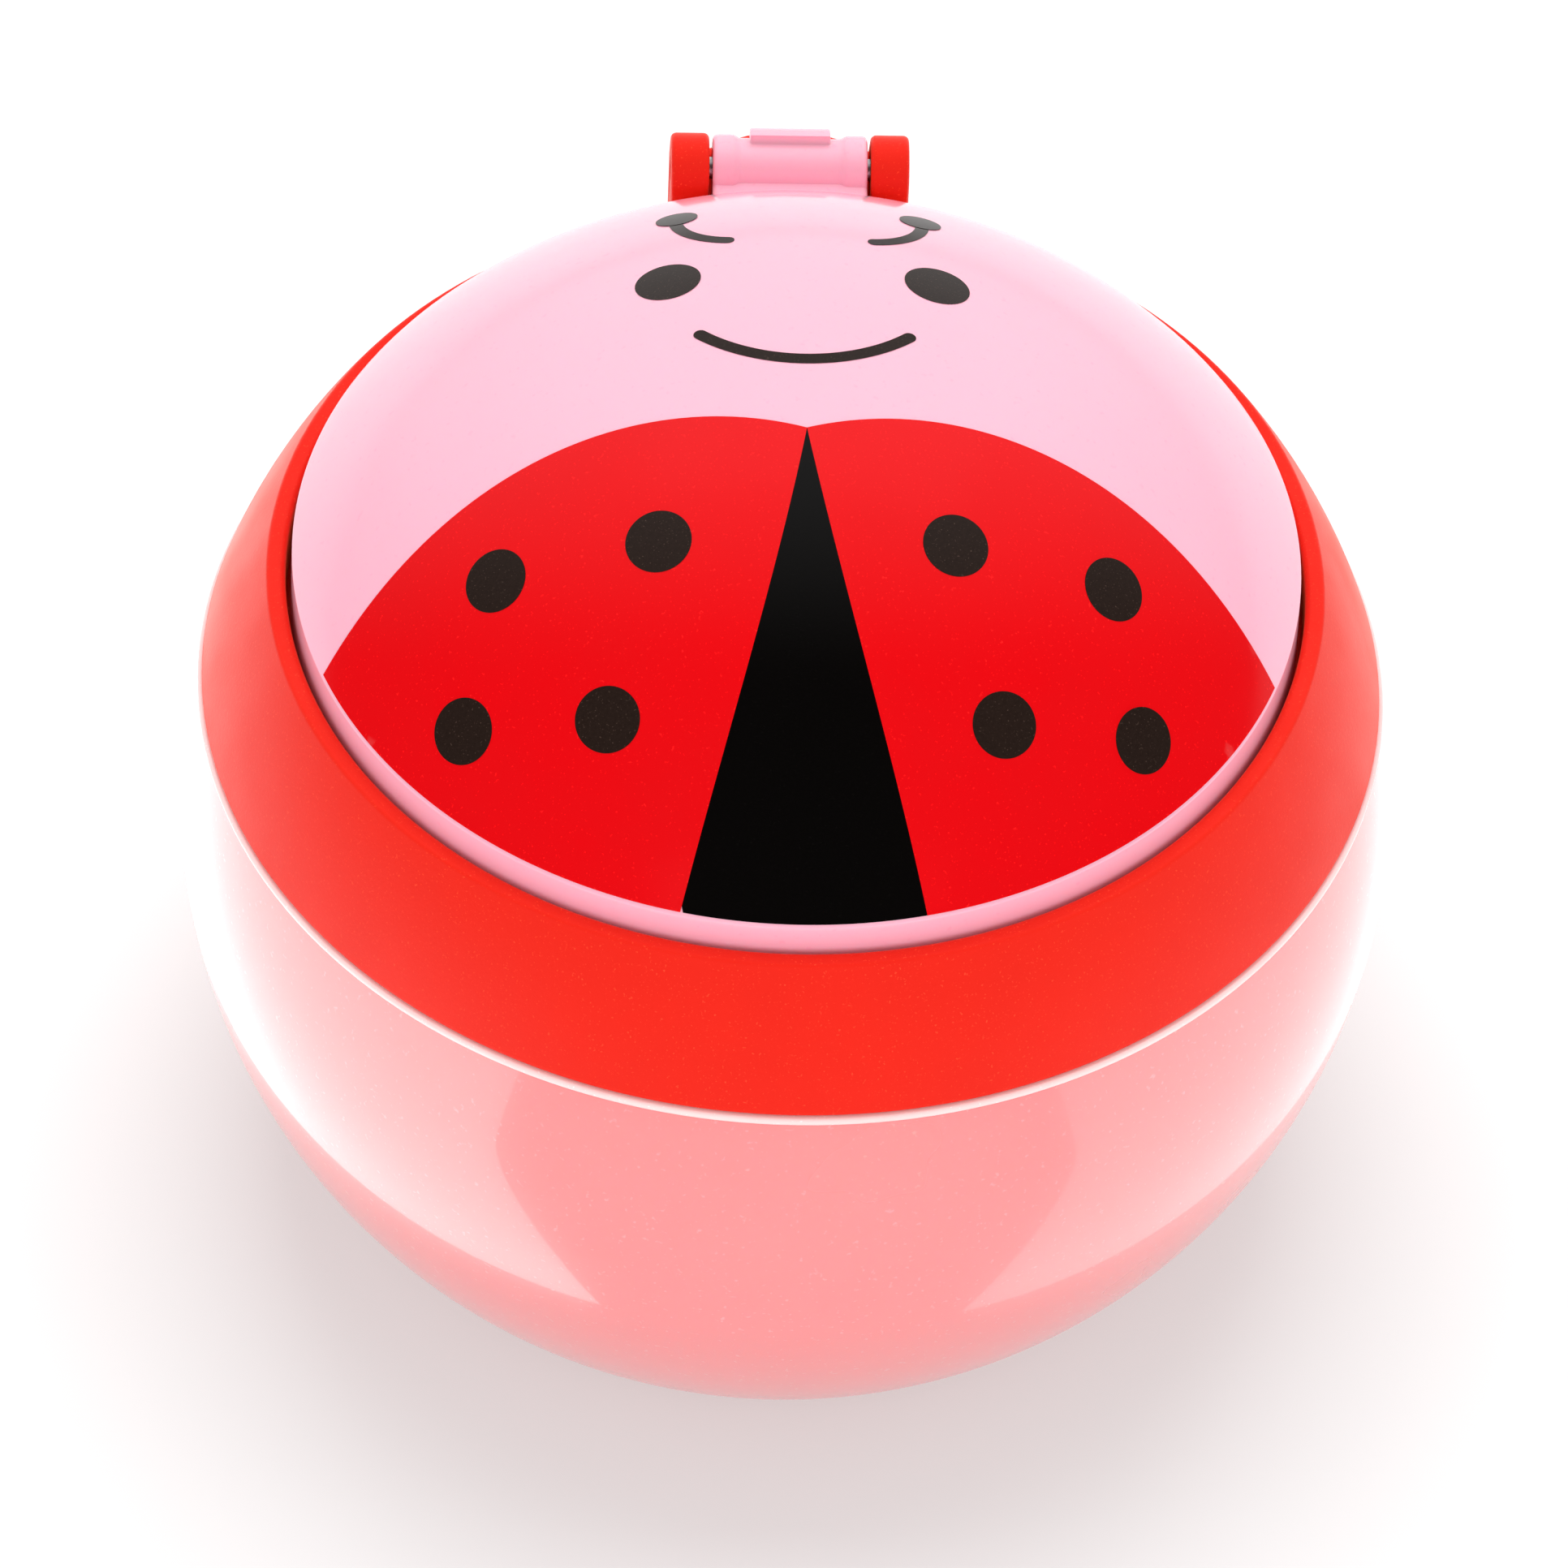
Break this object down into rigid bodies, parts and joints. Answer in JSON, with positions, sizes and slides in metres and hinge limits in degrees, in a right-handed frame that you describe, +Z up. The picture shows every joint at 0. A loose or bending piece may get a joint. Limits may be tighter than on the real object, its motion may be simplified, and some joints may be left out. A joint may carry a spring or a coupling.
{
  "type": "snack cup",
  "caption": "Child's ball-shaped snack cup: translucent bowl, twist-off collar with soft finger flaps and a domed hinged lid with a ladybird print.",
  "frame": {"origin": "centre of the flat base, on the surface the cup stands on", "axes": "+Z up along the cup's turning axis, +Y towards the lid's hinge, -Y the front of the cup, +X to the right seen from the front"},
  "size_m": [0.108, 0.108, 0.0918],
  "materials": {
    "bowl_plastic": "translucent rose polypropylene, polished",
    "collar_plastic": "satin red polypropylene with fine moulded grain",
    "lid_plastic": "high-gloss pink, printed in the mould",
    "flap_elastomer": "soft matt thermoplastic elastomer",
    "pin_steel": "plain drawn stainless wire"
  },
  "bodies": {
    "bowl": {"bowl": "bowl_plastic"},
    "flap_insert": {"flap_ring": "flap_elastomer"},
    "collar": {"collar": "collar_plastic", "hinge_pin": "pin_steel"},
    "lid": {"lid": "lid_plastic"},
    "flap_1": {"flap_1": "flap_elastomer"},
    "flap_2": {"flap_2": "flap_elastomer"},
    "flap_3": {"flap_3": "flap_elastomer"},
    "flap_4": {"flap_4": "flap_elastomer"},
    "flap_5": {"flap_5": "flap_elastomer"},
    "flap_6": {"flap_6": "flap_elastomer"}
  },
  "joints": [
    {"name": "collar_rise", "type": "slide", "parent": "bowl", "child": "flap_insert", "axis": [0, 0, 1], "range_m": [0, 0.0026]},
    {"name": "collar_turn", "type": "hinge", "parent": "flap_insert", "child": "collar", "pos_m": [0, 0, 0.058], "axis": [0, 0, 1], "range_deg": [0, 60]},
    {"name": "lid_hinge", "type": "hinge", "parent": "collar", "child": "lid", "pos_m": [0, 0.04864, 0.0682], "axis": [-1, 0, 0], "range_deg": [0, 150]},
    {"name": "flap_1_bend", "type": "hinge", "parent": "flap_insert", "child": "flap_1", "pos_m": [0.02847, 0, 0.0577], "axis": [0, -1, 0], "range_deg": [-35, 70], "stiffness_Nm_per_rad": 0.02},
    {"name": "flap_2_bend", "type": "hinge", "parent": "flap_insert", "child": "flap_2", "pos_m": [0.01423, 0.02465, 0.0577], "axis": [0.866, -0.5, 0], "range_deg": [-35, 70], "stiffness_Nm_per_rad": 0.02},
    {"name": "flap_3_bend", "type": "hinge", "parent": "flap_insert", "child": "flap_3", "pos_m": [-0.01423, 0.02465, 0.0577], "axis": [0.866, 0.5, 0], "range_deg": [-35, 70], "stiffness_Nm_per_rad": 0.02},
    {"name": "flap_4_bend", "type": "hinge", "parent": "flap_insert", "child": "flap_4", "pos_m": [-0.02847, 0, 0.0577], "axis": [0, 1, 0], "range_deg": [-35, 70], "stiffness_Nm_per_rad": 0.02},
    {"name": "flap_5_bend", "type": "hinge", "parent": "flap_insert", "child": "flap_5", "pos_m": [-0.01423, -0.02465, 0.0577], "axis": [-0.866, 0.5, 0], "range_deg": [-35, 70], "stiffness_Nm_per_rad": 0.02},
    {"name": "flap_6_bend", "type": "hinge", "parent": "flap_insert", "child": "flap_6", "pos_m": [0.01423, -0.02465, 0.0577], "axis": [-0.866, -0.5, 0], "range_deg": [-35, 70], "stiffness_Nm_per_rad": 0.02}
  ],
  "couplings": [
    {"joint": "collar_rise", "follows": "collar_turn", "m_per_rad": 0.0023873}
  ]
}
